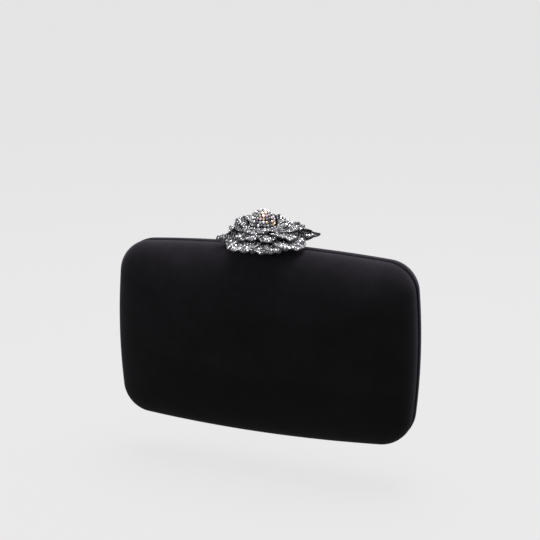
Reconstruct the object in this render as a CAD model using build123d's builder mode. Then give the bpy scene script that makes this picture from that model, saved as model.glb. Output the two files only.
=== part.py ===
from build123d import *

import os
from math import atan2, cos, pi, radians, sin

# Evening clutch: two velvet-covered shells, hinged along the bottom, held shut by a jewelled flower latch.
#
# Millimetres. +Z is up, +X runs along the width and the front faces -Y. The origin is on the surface that
# the clutch stands on, under the middle of the seam between its two halves. The rear half stays still, the
# front half swings forward and down on two hinges, and the flower tilts back on a pin, lifting its hook.
#
# Pieces that both halves have are drawn for the rear half, behind the seam, and mirrored for the front one.

os.makedirs("parts", exist_ok=True)

# ---------------------------------------------------------------- driving dimensions
HALF_WIDTH = 95.0
HALF_HEIGHT = 58.0
SIDE_BULGE = 3.6  # how far each short side bows out between its corners
LONG_BULGE = 4.45  # how far the top and the bottom bow out
CORNER_RADIUS = 19.0
CORNER_SHRINK = 0.55  # of the inset, taken off the corner radius
LEAST_CORNER = 5.0
SHELL_DEPTH = 22.0  # rim to crown of one half
HALF_GAP = 0.6  # half of the gap between the two rims
CROWN_INSET = 44.0  # where the rounded border ends and the flat middle of the face begins
WALL_POWER = 3.1  # higher keeps the wall straight for longer
FACE_POWER = 2.0
PROFILE_SHARES = (0.002, 0.012, 0.035, 0.075, 0.13, 0.21, 0.32, 0.47, 0.68)  # of the way from rim to crown
LIP_RADIUS = 2.0
REST_FLAT = 0.5  # pile pressed flat where the clutch stands

MIDDLE_Z = HALF_HEIGHT - REST_FLAT
TOP = MIDDLE_Z + HALF_HEIGHT

# Layers of one half, each given by the depth of its inner surface under the outside of the velvet.
VELVET = 0.9
FOAM = 2.0
BOARD = 3.6
LINING = 4.2
POCKET_SLOT = 5.4
POCKET = 6.0
BINDING = (5.1, 6.3)

RIM_Y = 1.7  # where the board's rim starts; the velvet turned over it fills the rest
TURN_IN = 2.6  # inset of the edge of the velvet that is turned in over the rim

# Rim frame, an angle section: a flange over the board's rim and a band inside the lining.
FLANGE_OUTER = 2.7
BAND_OUTER = 4.0
BAND_INNER = 4.9
TUCK = 3.95  # inset of the lining where it is tucked behind the band
FRAME_Y = 0.3
BAND_END_Y = 6.0

POCKET_HALF_WIDTH = 62.0
POCKET_LOW = 16.0
POCKET_HIGH = 70.0
POCKET_SEAM = 1.6
BINDING_HEIGHT = 2.2

# Hinges.
HINGE_Z = 1.5
HINGE_XS = (-30.0, 30.0)
HINGE_HALF = 8.0
KNUCKLE_RADIUS = 1.4
MIDDLE_KNUCKLE_HALF = 2.6
KNUCKLE_GAP = 0.2
HINGE_PIN_RADIUS = 0.6
HINGE_PIN_HEAD = (0.9, 0.4)  # radius, height
RUNNING = 0.05  # radial clearance of a pin that turns in its bore
CLEARANCE = 0.2  # radial clearance round the knuckles
LEAF = 0.8
LEAF_Y = 0.15
LEAF_END_Y = 5.8
LEAF_Z = BAND_INNER + 0.3 - REST_FLAT
RIVET_X = 4.5
RIVET_Y = 3.5
RIVET_RADIUS = 0.7
RIVET_HEAD = (1.25, 0.5)
RIVET_CROWN = 0.35
RIVET_LOW = BAND_OUTER - REST_FLAT + 0.9

# Clasp: a base let into the rear half, a strike let into the front one and a lever that carries the flower.
BLOCK_LOW = TOP - BAND_OUTER
BLOCK_STEP = TOP - FLANGE_OUTER
HOLE_DROP = 2.0  # how far the hole through the layers goes on under a block
BASE_HALF = 8.0
BASE_END_Y = 10.4
BASE_TOP = TOP + 0.5
LUG_X = (5.3, 7.0)
LUG_RADIUS = 1.5
PIVOT_Y = 6.0
PIVOT_Z = TOP + 1.7
PIVOT_RADIUS = 0.6
PIVOT_HALF = 7.4
STRIKE_HALF = 6.0
STRIKE_END_Y = 8.4
STRIKE_TOP = TOP - 0.3
TAB_HALF = 3.0
TAB_Y = (3.4, 4.4)
TAB_TOP = TOP + 1.2
DIP_END_Y = 6.6  # the hook's end hangs in a dip in front of the tab
DIP_HALF = 3.5
HOOK_DIP = 0.8
HOOK_Y = (-5.9, -4.7)
HOOK_LOW = TOP - 0.3
BLOCK_SCREW = (0.8, 1.5, 0.7)  # shank radius, head radius, head height
SCREW_BITE = 2.4  # how far a screw goes into its block
SCREW_GAP = 0.1  # between the frame and a screw's head
DRIVE_SLOT = (1.8, 0.36, 0.3)  # length, width, depth
BLOCK_SCREW_Y = 3.6
BASE_SCREW_X = 5.0
STRIKE_SCREW_X = 4.0
LEVER_HALF = 5.0
PLATE_LOW = TOP + 2.9
PLATE = 1.0
PLATE_Y = (-7.0, 9.4)
BARREL_RADIUS = 1.5
SPRING_HALF = 1.5
SPRING_RADIUS = 0.95
SPRING_WIRE = 0.2
SPRING_PITCH = 0.5
SPRING_TURNS = 4.5
SPRING_LEG = 2.6
SPRING_STEPS = 12  # points to a turn
PIN_CHAMFER = 0.15

# Flower: cast layers stacked on one stud, each a thin dish cut to a scalloped outline.
FLOWER_X = -2.0
STUD_RADIUS = 1.6
STUD_TOP = TOP + 10.5
STUD_END = 0.2  # the stud's end below its nut
NUT = (2.9, 1.6)  # radius across the corners, height
BASE_PLATE = (12.0, 1.0)  # radius, height
EDGE_CHAMFER = 0.3
SHEET = 0.8
# A layer's section: its flat radius, then (radius, height) of a middle point and of the edge.
OUTER_DISH = (12.0, (21.0, -1.2), (33.0, -4.2))
SECOND_DISH = (7.0, (14.0, 1.0), (22.5, 4.6))
THIRD_DISH = (6.0, (12.0, 1.6), (16.5, 6.0))
# A layer's petals: how far they reach, how many, and the angle of the first.
OUTER_PETALS = (26.5, 7, -70)
SECOND_PETALS = (22.5, 6, -40)
THIRD_PETALS = (16.5, 5, -75)
BUD_PETALS = (9.6, 4, 20)
PETAL_HEART = 0.62  # of the reach: the disc that the petals grow from
PETAL_LENGTH = 0.36  # of the reach: half of a petal's length
PETAL_WIDTH = 0.92  # of a petal's share of the ring
# The cup round the bud: (radius, height) along its outside and its inside.
CUP_OUTSIDE = ((5.6, 0.0), (8.6, 3.4), (9.4, 9.0))
CUP_INSIDE = ((8.6, 9.0), (7.8, 3.5), (5.4, SHEET))
BUD_RADIUS = 7.4
BUD_Z = TOP + 13.6
STONE_RADIUS = 1.15
STONE_DEPTH = 0.45  # of a stone's centre under the dome
STONE_RINGS = ((0, 1), (22, 6), (44, 12), (66, 16))  # degrees from the top of the dome, number of stones
OUTER_TIPS = ((17.7, 33.0), (201.8, 27.5))  # angle and length of the two pointed petals
TIP_HALF = 9.0
TIP_ROOT = 0.3  # of a pointed petal's length
TIP_SHOULDER = (0.72, 0.75)  # where its sides bend: of its length, of its half-width
DISH_REACH = 15.0  # further than any layer rises or falls from its seat

FLOWER_Z = PLATE_LOW + PLATE + BASE_PLATE[1]


# ---------------------------------------------------------------- shared shapes
def wall_plane(y):
    """The plane parallel to the seam at distance y behind it, centred on the clutch."""
    return Plane(origin=(0, y, MIDDLE_Z), x_dir=(1, 0, 0), z_dir=(0, -1, 0))


def outline(inset):
    """The clutch's outline, drawn in from its outer edge: four shallow arcs with rounded corners."""
    half_width, half_height = HALF_WIDTH - inset, HALF_HEIGHT - inset
    corner_x, corner_z = half_width - SIDE_BULGE, half_height - LONG_BULGE
    with BuildSketch(Plane.XY) as shape:
        with BuildLine():
            ThreePointArc((-corner_x, corner_z), (0, half_height), (corner_x, corner_z))
            ThreePointArc((corner_x, corner_z), (half_width, 0), (corner_x, -corner_z))
            ThreePointArc((corner_x, -corner_z), (0, -half_height), (-corner_x, -corner_z))
            ThreePointArc((-corner_x, -corner_z), (-half_width, 0), (-corner_x, corner_z))
        make_face()
        fillet(shape.vertices(), radius=max(CORNER_RADIUS - CORNER_SHRINK * inset, LEAST_CORNER))
    return shape.sketch


def profile(depth):
    """(inset, y) along one half's section, rim to crown, on the surface depth under the velvet's."""
    points = [(depth, HALF_GAP)]
    for share in PROFILE_SHARES:
        fill = 1 - (1 - share) ** FACE_POWER
        y = HALF_GAP + SHELL_DEPTH * fill ** (1 / WALL_POWER)
        rise = (1 - share) ** (FACE_POWER - 1) * fill ** (1 / WALL_POWER - 1)
        lean = atan2(1, SHELL_DEPTH / CROWN_INSET * FACE_POWER / WALL_POWER * rise)
        points.append((share * CROWN_INSET + depth * cos(lean), y - depth * sin(lean)))
    return points + [(CROWN_INSET, HALF_GAP + SHELL_DEPTH - depth)]


def half_form(depth):
    """The solid form of one half inside the surface that lies depth under the velvet."""
    with BuildPart() as form:
        for inset, y in profile(depth):
            with BuildSketch(wall_plane(y)):
                add(outline(inset))
        loft()
    return form.part


def bar(x, y, z, mode=Mode.ADD):
    """A box between the given (low, high) ranges, in the open part."""
    with Locations(((x[0] + x[1]) / 2, (y[0] + y[1]) / 2, (z[0] + z[1]) / 2)):
        Box(x[1] - x[0], y[1] - y[0], z[1] - z[0], mode=mode)


def rod(radius, x, y, z, mode=Mode.ADD):
    """A cylinder along X over the (low, high) range x, in the open part."""
    with Locations(((x[0] + x[1]) / 2, y, z)):
        Cylinder(radius, x[1] - x[0], rotation=(0, 90, 0), mode=mode)


def post(radius, x, y, z, mode=Mode.ADD):
    """A cylinder along Z over the (low, high) range z, in the open part."""
    with Locations((x, y, (z[0] + z[1]) / 2)):
        Cylinder(radius, z[1] - z[0], mode=mode)


def ring(outer, inner, y):
    """A ring between two insets of the outline, over the (low, high) range y, in the open part."""
    with BuildSketch(wall_plane(y[0])) as section:
        add(outline(outer))
        add(outline(inner), mode=Mode.SUBTRACT)
    extrude(section.sketch, amount=y[0] - y[1])


def save(part, name):
    """Labels a finished piece and writes it."""
    part.label = name
    export_step(part, f"parts/{name}.step")


def mirrored(part):
    """The same piece on the front half."""
    with BuildPart() as front:
        mirror(part, about=Plane.XZ)
    return front.part


def around(centre, half):
    """The (low, high) range of the given half-width around a centre."""
    return centre - half, centre + half


# ---------------------------------------------------------------- hinges
def hinge_leaf(x, knuckles):
    """A bent leaf at x: knuckles on the pin's axis, an upright strip and a flange that lies in the frame."""
    span = around(x, HINGE_HALF)
    with BuildPart() as leaf:
        bar(span, (LEAF_Y, LEAF_Y + LEAF), (HINGE_Z, LEAF_Z + LEAF))
        bar(span, (LEAF_Y, LEAF_END_Y), (LEAF_Z, LEAF_Z + LEAF))
        rod(KNUCKLE_RADIUS + CLEARANCE, span, 0, HINGE_Z, mode=Mode.SUBTRACT)
        for low, high, bore in knuckles:
            reach = (x + low, x + high)
            rod(KNUCKLE_RADIUS, reach, 0, HINGE_Z)
            bar(reach, (LEAF_Y, LEAF_Y + LEAF), (HINGE_Z, HINGE_Z + KNUCKLE_RADIUS + LEAF))
            rod(bore, reach, 0, HINGE_Z, mode=Mode.SUBTRACT)
        rivet_shanks(x, mode=Mode.SUBTRACT)
    return leaf.part


def rivet_shanks(x, mode=Mode.ADD):
    """The shanks of the two rivets that hold the leaf at x, in the open part."""
    for side in (-1, 1):
        post(RIVET_RADIUS, x + side * RIVET_X, RIVET_Y, (RIVET_LOW, LEAF_Z + LEAF), mode=mode)


def hinge_rivets():
    """Four rivets, two to a leaf, with low domed heads on the leaf."""
    radius, height = RIVET_HEAD
    with BuildPart() as rivets:
        for x in HINGE_XS:
            rivet_shanks(x)
            for side in (-1, 1):
                post(radius, x + side * RIVET_X, RIVET_Y, (LEAF_Z + LEAF, LEAF_Z + LEAF + height))
        fillet(rivets.faces().sort_by(Axis.Z)[-4:].edges(), radius=RIVET_CROWN)
    return rivets.part


def hinge_pin(x):
    """A straight pin with a flat head at each end."""
    radius, height = HINGE_PIN_HEAD
    with BuildPart() as pin:
        rod(HINGE_PIN_RADIUS, around(x, HINGE_HALF), 0, HINGE_Z)
        rod(radius, (x - HINGE_HALF - height, x - HINGE_HALF), 0, HINGE_Z)
        rod(radius, (x + HINGE_HALF, x + HINGE_HALF + height), 0, HINGE_Z)
    return pin.part


def hinge_gaps():
    """Room in one half's rim for both hinges: round the knuckles and behind the upright strips."""
    reach = HINGE_HALF + HINGE_PIN_HEAD[1] + CLEARANCE
    with BuildPart() as gaps:
        for x in HINGE_XS:
            rod(KNUCKLE_RADIUS + CLEARANCE, around(x, reach), 0, HINGE_Z)
            bar(around(x, reach), (0, LEAF_Y + LEAF), (HINGE_Z, LEAF_Z))
    return gaps.part


INNER_KNUCKLE = MIDDLE_KNUCKLE_HALF + KNUCKLE_GAP
REAR_KNUCKLES = (
    (-HINGE_HALF, -INNER_KNUCKLE, HINGE_PIN_RADIUS),
    (INNER_KNUCKLE, HINGE_HALF, HINGE_PIN_RADIUS),
)
FRONT_KNUCKLES = ((-MIDDLE_KNUCKLE_HALF, MIDDLE_KNUCKLE_HALF, HINGE_PIN_RADIUS + RUNNING),)

REAR_LEAVES = [hinge_leaf(x, REAR_KNUCKLES) for x in HINGE_XS]
FRONT_LEAVES = [hinge_leaf(x, FRONT_KNUCKLES) for x in HINGE_XS]
GAPS = hinge_gaps()

for side, x, rear_leaf, front_leaf in zip(("left", "right"), HINGE_XS, REAR_LEAVES, FRONT_LEAVES):
    save(rear_leaf, f"rear_hinge_leaf_{side}")
    save(mirrored(front_leaf), f"front_hinge_leaf_{side}")
    save(hinge_pin(x), f"hinge_pin_{side}")

RIVETS = hinge_rivets()
save(RIVETS, "rear_hinge_rivets")
save(mirrored(RIVETS), "front_hinge_rivets")


# ---------------------------------------------------------------- clasp
def let_in_block(half, end_y, top):
    """A block let into the top of one half, standing on the rim frame."""
    with BuildPart() as block:
        bar((-half, half), (HALF_GAP, end_y), (BLOCK_STEP, top))
        bar((-half, half), (RIM_Y, end_y), (BLOCK_LOW, top))
    return block.part


def block_screws(x, y):
    """A pair of screws at +-x, driven up from inside the case through the frame into a block."""
    radius, head_radius, head_height = BLOCK_SCREW
    length, width, depth = DRIVE_SLOT
    under = TOP - BAND_INNER - SCREW_GAP
    low = under - head_height
    with BuildPart() as screws:
        for side in (-1, 1):
            post(radius, side * x, y, (under, BLOCK_LOW + SCREW_BITE))
            post(head_radius, side * x, y, (low, under))
            slot = around(side * x, length / 2), around(y, width / 2), (low, low + depth)
            bar(*slot, mode=Mode.SUBTRACT)
    return screws.part


BASE_SCREWS = block_screws(BASE_SCREW_X, BLOCK_SCREW_Y)
STRIKE_SCREWS = block_screws(STRIKE_SCREW_X, BLOCK_SCREW_Y)

BASE_BLANK = let_in_block(BASE_HALF, BASE_END_Y, BASE_TOP)
with BuildPart() as clasp_base:
    add(BASE_BLANK)
    for low, high in (LUG_X, (-LUG_X[1], -LUG_X[0])):
        rod(LUG_RADIUS, (low, high), PIVOT_Y, PIVOT_Z)
        bar((low, high), around(PIVOT_Y, LUG_RADIUS), (BASE_TOP, PIVOT_Z))
    rod(BARREL_RADIUS + CLEARANCE, (-LUG_X[0], LUG_X[0]), PIVOT_Y, PIVOT_Z, mode=Mode.SUBTRACT)
    rod(PIVOT_RADIUS, (-LUG_X[1], LUG_X[1]), PIVOT_Y, PIVOT_Z, mode=Mode.SUBTRACT)
    add(BASE_SCREWS, mode=Mode.SUBTRACT)
save(clasp_base.part, "clasp_base")
save(BASE_SCREWS, "clasp_base_screws")

STRIKE_BLANK = let_in_block(STRIKE_HALF, STRIKE_END_Y, STRIKE_TOP)
with BuildPart() as strike:
    add(STRIKE_BLANK)
    bar((-TAB_HALF, TAB_HALF), TAB_Y, (STRIKE_TOP, TAB_TOP))
    dip = (STRIKE_TOP - HOOK_DIP, STRIKE_TOP)
    bar((-DIP_HALF, DIP_HALF), (TAB_Y[1], DIP_END_Y), dip, mode=Mode.SUBTRACT)
    add(STRIKE_SCREWS, mode=Mode.SUBTRACT)
save(mirrored(strike.part), "clasp_strike")
save(mirrored(STRIKE_SCREWS), "clasp_strike_screws")

with BuildPart() as clasp_pivot_pin:
    rod(PIVOT_RADIUS, (-PIVOT_HALF, PIVOT_HALF), PIVOT_Y, PIVOT_Z)
    chamfer(clasp_pivot_pin.edges().filter_by(GeomType.CIRCLE), length=PIN_CHAMFER)
save(clasp_pivot_pin.part, "clasp_pivot_pin")

with BuildPart() as clasp_lever:
    bar((-LEVER_HALF, LEVER_HALF), PLATE_Y, (PLATE_LOW, PLATE_LOW + PLATE))
    bar((-TAB_HALF, TAB_HALF), HOOK_Y, (HOOK_LOW, PLATE_LOW))
    for low, high in ((SPRING_HALF, LEVER_HALF), (-LEVER_HALF, -SPRING_HALF)):
        rod(BARREL_RADIUS, (low, high), PIVOT_Y, PIVOT_Z)
        bar((low, high), around(PIVOT_Y, BARREL_RADIUS), (PIVOT_Z, PLATE_LOW))
    rod(PIVOT_RADIUS + RUNNING, (-LEVER_HALF, LEVER_HALF), PIVOT_Y, PIVOT_Z, mode=Mode.SUBTRACT)
    post(STUD_RADIUS, FLOWER_X, 0, (PLATE_LOW, PLATE_LOW + PLATE), mode=Mode.SUBTRACT)
save(clasp_lever.part, "clasp_lever")


def clasp_spring():
    """A torsion spring round the pin: a coil, with one leg under the lever's tail and one on the base."""
    count = int(SPRING_TURNS * SPRING_STEPS)
    turn = 2 * pi / SPRING_STEPS
    points = []
    for i in range(count + 1):
        angle = -pi / 2 - i * turn
        x = (i / count - 0.5) * SPRING_PITCH * SPRING_TURNS
        points.append((x, PIVOT_Y + SPRING_RADIUS * cos(angle), PIVOT_Z + SPRING_RADIUS * sin(angle)))
    low, high = points[0], points[-1]
    with BuildPart() as spring:
        with BuildLine():
            Line((low[0], low[1] + SPRING_LEG, low[2]), low)
            Spline(points)
            Line(high, (high[0], high[1] + SPRING_LEG, high[2]))
        with BuildSketch(Plane(origin=(low[0], low[1] + SPRING_LEG, low[2]), z_dir=(0, -1, 0))):
            Circle(SPRING_WIRE)
        sweep()
    return spring.part


save(clasp_spring(), "clasp_spring")


# ---------------------------------------------------------------- flower
def dish(flat, mid, edge, low, petals):
    """A cast layer: flat out to radius flat, then curving through mid to edge, cut to an outline of petals.

    The points mid and edge are (radius, height) on the underside, and low is the height of the layer's seat.
    """
    with BuildPart() as layer_part:
        with BuildSketch(Plane(origin=(FLOWER_X, 0, low), x_dir=(1, 0, 0), z_dir=(0, -1, 0))):
            with BuildLine():
                Line((0, 0), (flat, 0))
                ThreePointArc((flat, 0), mid, edge)
                Line(edge, (edge[0], edge[1] + SHEET))
                ThreePointArc((edge[0], edge[1] + SHEET), (mid[0], mid[1] + SHEET), (flat, SHEET))
                Polyline((flat, SHEET), (0, SHEET), (0, 0))
            make_face()
        revolve(axis=Axis((FLOWER_X, 0, low), (0, 0, 1)))
        with BuildSketch(Plane(origin=(FLOWER_X, 0, low - DISH_REACH))):
            add(petals)
        extrude(amount=2 * DISH_REACH, mode=Mode.INTERSECT)
        post(STUD_RADIUS, FLOWER_X, 0, (low - 1, low + 1 + SHEET), mode=Mode.SUBTRACT)
    return layer_part.part


def pointed_petal(length):
    """A leaf-shaped petal along +X, ending in a point."""
    root = TIP_ROOT * length
    bend, bend_half = TIP_SHOULDER[0] * length, TIP_SHOULDER[1] * TIP_HALF
    with BuildSketch(Plane.XY) as petal:
        with BuildLine():
            ThreePointArc((root, -TIP_HALF), (bend, -bend_half), (length, 0))
            ThreePointArc((length, 0), (bend, bend_half), (root, TIP_HALF))
            Line((root, TIP_HALF), (root, -TIP_HALF))
        make_face()
    return petal.sketch


def scallops(radius, count, start, tips=()):
    """A ring of count rounded petals of the given radius, with pointed ones at each (angle, length)."""
    long_axis = PETAL_LENGTH * radius
    short_axis = PETAL_WIDTH * radius * sin(pi / count)
    with BuildSketch(Plane.XY) as petals:
        Circle(PETAL_HEART * radius)
        with PolarLocations(radius - long_axis, count, start_angle=start):
            Ellipse(long_axis, short_axis)
        for angle, length in tips:
            add(pointed_petal(length), rotation=angle)
    return petals.sketch


SECOND_Z = FLOWER_Z + SHEET
THIRD_Z = SECOND_Z + SHEET
CUP_Z = THIRD_Z + SHEET

PETAL_LAYERS = {
    "outer_petals": (*OUTER_DISH, FLOWER_Z, scallops(*OUTER_PETALS, OUTER_TIPS)),
    "second_petals": (*SECOND_DISH, SECOND_Z, scallops(*SECOND_PETALS)),
    "third_petals": (*THIRD_DISH, THIRD_Z, scallops(*THIRD_PETALS)),
}
for name, measures in PETAL_LAYERS.items():
    save(dish(*measures), name)

with BuildPart() as bud_petals:
    with BuildSketch(Plane(origin=(FLOWER_X, 0, CUP_Z), x_dir=(1, 0, 0), z_dir=(0, -1, 0))):
        with BuildLine():
            Line((STUD_RADIUS, 0), CUP_OUTSIDE[0])
            ThreePointArc(*CUP_OUTSIDE)
            Line(CUP_OUTSIDE[-1], CUP_INSIDE[0])
            ThreePointArc(*CUP_INSIDE)
            Polyline(CUP_INSIDE[-1], (STUD_RADIUS, SHEET), (STUD_RADIUS, 0))
        make_face()
    revolve(axis=Axis((FLOWER_X, 0, CUP_Z), (0, 0, 1)))
    with BuildSketch(Plane(origin=(FLOWER_X, 0, CUP_Z - 1))):
        add(scallops(*BUD_PETALS))
    extrude(amount=DISH_REACH, mode=Mode.INTERSECT)
save(bud_petals.part, "bud_petals")

with BuildPart() as bud_stones:
    for degrees, count in STONE_RINGS:
        reach = (BUD_RADIUS - STONE_DEPTH) * sin(radians(degrees))
        height = (BUD_RADIUS - STONE_DEPTH) * cos(radians(degrees))
        with Locations((FLOWER_X, 0, BUD_Z + height)):
            with PolarLocations(reach, count, start_angle=degrees):
                Sphere(STONE_RADIUS)
save(bud_stones.part, "bud_stones")

with BuildPart() as bud_dome:
    with Locations((FLOWER_X, 0, BUD_Z)):
        Sphere(BUD_RADIUS)
    below = (BUD_Z - BUD_RADIUS, CUP_Z + SHEET)
    bar(around(FLOWER_X, BUD_RADIUS), (-BUD_RADIUS, BUD_RADIUS), below, mode=Mode.SUBTRACT)
    post(STUD_RADIUS, FLOWER_X, 0, (CUP_Z, STUD_TOP), mode=Mode.SUBTRACT)
    add(bud_stones.part, mode=Mode.SUBTRACT)
save(bud_dome.part, "bud_dome")

NUT_RADIUS, NUT_HEIGHT = NUT
with BuildPart() as flower_stud:
    post(STUD_RADIUS, FLOWER_X, 0, (PLATE_LOW - NUT_HEIGHT - STUD_END, STUD_TOP))
    chamfer(flower_stud.edges().sort_by(Axis.Z)[0], length=EDGE_CHAMFER)
save(flower_stud.part, "flower_stud")

with BuildPart() as flower_nut:
    with BuildSketch(Plane(origin=(FLOWER_X, 0, PLATE_LOW - NUT_HEIGHT))):
        RegularPolygon(NUT_RADIUS, side_count=6)
        Circle(STUD_RADIUS, mode=Mode.SUBTRACT)
    extrude(amount=NUT_HEIGHT)
save(flower_nut.part, "flower_nut")

PLATE_RADIUS, PLATE_HEIGHT = BASE_PLATE
with BuildPart() as flower_base_plate:
    with BuildSketch(Plane(origin=(FLOWER_X, 0, PLATE_LOW + PLATE))):
        Circle(PLATE_RADIUS)
        Circle(STUD_RADIUS, mode=Mode.SUBTRACT)
    extrude(amount=PLATE_HEIGHT)
    rims = flower_base_plate.edges().filter_by(GeomType.CIRCLE).sort_by(SortBy.RADIUS)[-2:]
    chamfer(rims, length=EDGE_CHAMFER)
save(flower_base_plate.part, "flower_base_plate")


# ---------------------------------------------------------------- the two halves
DEPTHS = (0, VELVET, FOAM, BOARD, LINING, POCKET_SLOT, POCKET, *BINDING)
FORM = {depth: half_form(depth) for depth in DEPTHS}
EVERYWHERE = ((-HALF_WIDTH, HALF_WIDTH), (0, TOP))


def plugged_form(depth, inset, end_y):
    """A half's form at one depth, but a straight plug of the outline at the given inset up to end_y."""
    with BuildPart() as form:
        add(FORM[depth])
        bar(EVERYWHERE[0], (0, end_y), EVERYWHERE[1], mode=Mode.SUBTRACT)
        with BuildSketch(wall_plane(HALF_GAP)):
            add(outline(inset))
        extrude(amount=HALF_GAP - end_y)
    return form.part


def block_hole(half, end_y):
    """The hole through a half's layers for its clasp block."""
    with BuildPart() as hole:
        bar((-half, half), (0, end_y), (BLOCK_LOW - HOLE_DROP, TOP + 1))
    return hole.part


def velvet_cover(hole):
    """The velvet: all over the outside, rounded at the lip, turned in over the rim, pressed flat below."""
    with BuildPart() as cover:
        add(FORM[0])
        fillet(cover.faces().sort_by(Axis.Y)[0].edges(), radius=LIP_RADIUS)
        add(plugged_form(VELVET, TURN_IN, RIM_Y), mode=Mode.SUBTRACT)
        bar(EVERYWHERE[0], (0, 2 * SHELL_DEPTH), (-1, 0), mode=Mode.SUBTRACT)
        add(hole, mode=Mode.SUBTRACT)
        add(GAPS, mode=Mode.SUBTRACT)
    return cover.part


def layer(outer, inner, hole):
    """A layer under the velvet, from the board's rim to the crown, between the forms outer and inner."""
    with BuildPart() as sheet:
        add(outer)
        bar(EVERYWHERE[0], (0, RIM_Y), EVERYWHERE[1], mode=Mode.SUBTRACT)
        add(inner, mode=Mode.SUBTRACT)
        add(hole, mode=Mode.SUBTRACT)
    return sheet.part


def rim_frame(screws, leaves):
    """The angle section round the rim, with seats for the hinge leaves and holes for rivets and screws."""
    with BuildPart() as frame:
        ring(FLANGE_OUTER, BAND_INNER, (FRAME_Y, RIM_Y))
        ring(BAND_OUTER, BAND_INNER, (RIM_Y, BAND_END_Y))
        for cutter in (*leaves, RIVETS, GAPS, screws):
            add(cutter, mode=Mode.SUBTRACT)
    return frame.part


def ribbon(outer, inner, z):
    """A strip between two forms, as wide as the pocket, over the (low, high) range z."""
    with BuildPart() as strip:
        add(FORM[outer])
        add(FORM[inner], mode=Mode.SUBTRACT)
        bar((-POCKET_HALF_WIDTH, POCKET_HALF_WIDTH), (RIM_Y, SHELL_DEPTH), z, mode=Mode.INTERSECT)
    return strip.part


HALVES = {
    "rear": (block_hole(BASE_HALF, BASE_END_Y), BASE_SCREWS, REAR_LEAVES),
    "front": (block_hole(STRIKE_HALF, STRIKE_END_Y), STRIKE_SCREWS, FRONT_LEAVES),
}
for half, (hole, screws, leaves) in HALVES.items():
    pieces = {
        "velvet_cover": velvet_cover(hole),
        "foam_pad": layer(FORM[VELVET], FORM[FOAM], hole),
        "moulded_shell": layer(FORM[FOAM], FORM[BOARD], hole),
        "satin_lining": layer(FORM[BOARD], plugged_form(LINING, TUCK, BAND_END_Y), hole),
        "rim_frame": rim_frame(screws, leaves),
    }
    for name, piece in pieces.items():
        save(piece if half == "rear" else mirrored(piece), f"{half}_{name}")

SLOT_X = (POCKET_SEAM - POCKET_HALF_WIDTH, POCKET_HALF_WIDTH - POCKET_SEAM)
with BuildPart() as slot:
    add(ribbon(LINING, POCKET_SLOT, (POCKET_LOW + POCKET_SEAM, POCKET_HIGH)))
    bar(SLOT_X, (RIM_Y, SHELL_DEPTH), (POCKET_LOW, POCKET_HIGH), mode=Mode.INTERSECT)

with BuildPart() as lining_pocket:
    add(ribbon(LINING, POCKET, (POCKET_LOW, POCKET_HIGH)))
    add(slot.part, mode=Mode.SUBTRACT)
save(lining_pocket.part, "lining_pocket")
save(ribbon(*BINDING, (POCKET_HIGH, POCKET_HIGH + BINDING_HEIGHT)), "pocket_binding")
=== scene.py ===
import math
import random

import bmesh
import bpy
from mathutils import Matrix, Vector, noise


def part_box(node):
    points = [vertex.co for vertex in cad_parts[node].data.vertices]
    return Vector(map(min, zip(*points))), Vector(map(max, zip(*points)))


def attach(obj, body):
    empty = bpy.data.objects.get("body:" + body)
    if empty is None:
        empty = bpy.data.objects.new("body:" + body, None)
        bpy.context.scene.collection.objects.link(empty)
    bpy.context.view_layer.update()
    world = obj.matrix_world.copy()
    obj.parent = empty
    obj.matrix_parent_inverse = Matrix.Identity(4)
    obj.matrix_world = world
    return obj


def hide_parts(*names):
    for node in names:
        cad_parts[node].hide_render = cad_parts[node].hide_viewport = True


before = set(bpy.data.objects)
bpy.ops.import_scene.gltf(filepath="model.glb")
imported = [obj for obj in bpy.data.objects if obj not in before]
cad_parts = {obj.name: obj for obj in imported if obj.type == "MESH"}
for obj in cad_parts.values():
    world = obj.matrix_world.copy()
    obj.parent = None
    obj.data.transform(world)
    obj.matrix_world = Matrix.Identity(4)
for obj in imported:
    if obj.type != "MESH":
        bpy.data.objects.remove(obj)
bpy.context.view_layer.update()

# The clutch's looks. Metres, in the row frame: +Z up, the front faces -Y, the seam lies in the plane Y = 0.

MM = 0.001

# ---------------------------------------------------------------- the case's form, as in the CAD
HALF_WIDTH, HALF_HEIGHT = 95.0, 58.0
SIDE_BULGE, LONG_BULGE = 3.6, 4.45
CORNER_RADIUS, CORNER_SHRINK, CORNER_LEAST = 19.0, 0.55, 5.0
SHELL_DEPTH, HALF_GAP, CROWN_INSET = 22.0, 0.6, 44.0
WALL_POWER, FACE_POWER = 3.1, 2.0
MIDDLE_Z, TOP = 57.5, 115.5
LIP_RADIUS = 2.0
VELVET, BOARD, LINING = 0.9, 3.62, 4.2
RIM_Y, TURN_IN, TUCK = 1.7, 2.6, 3.95
BAND_INNER, BAND_END_Y = 4.9, 6.0
HINGE_Z = 1.5
FLOWER_X, FLOWER_Z = -2.0, 120.4
BUD_RADIUS, BUD_Z = 7.4, 129.1


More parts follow.
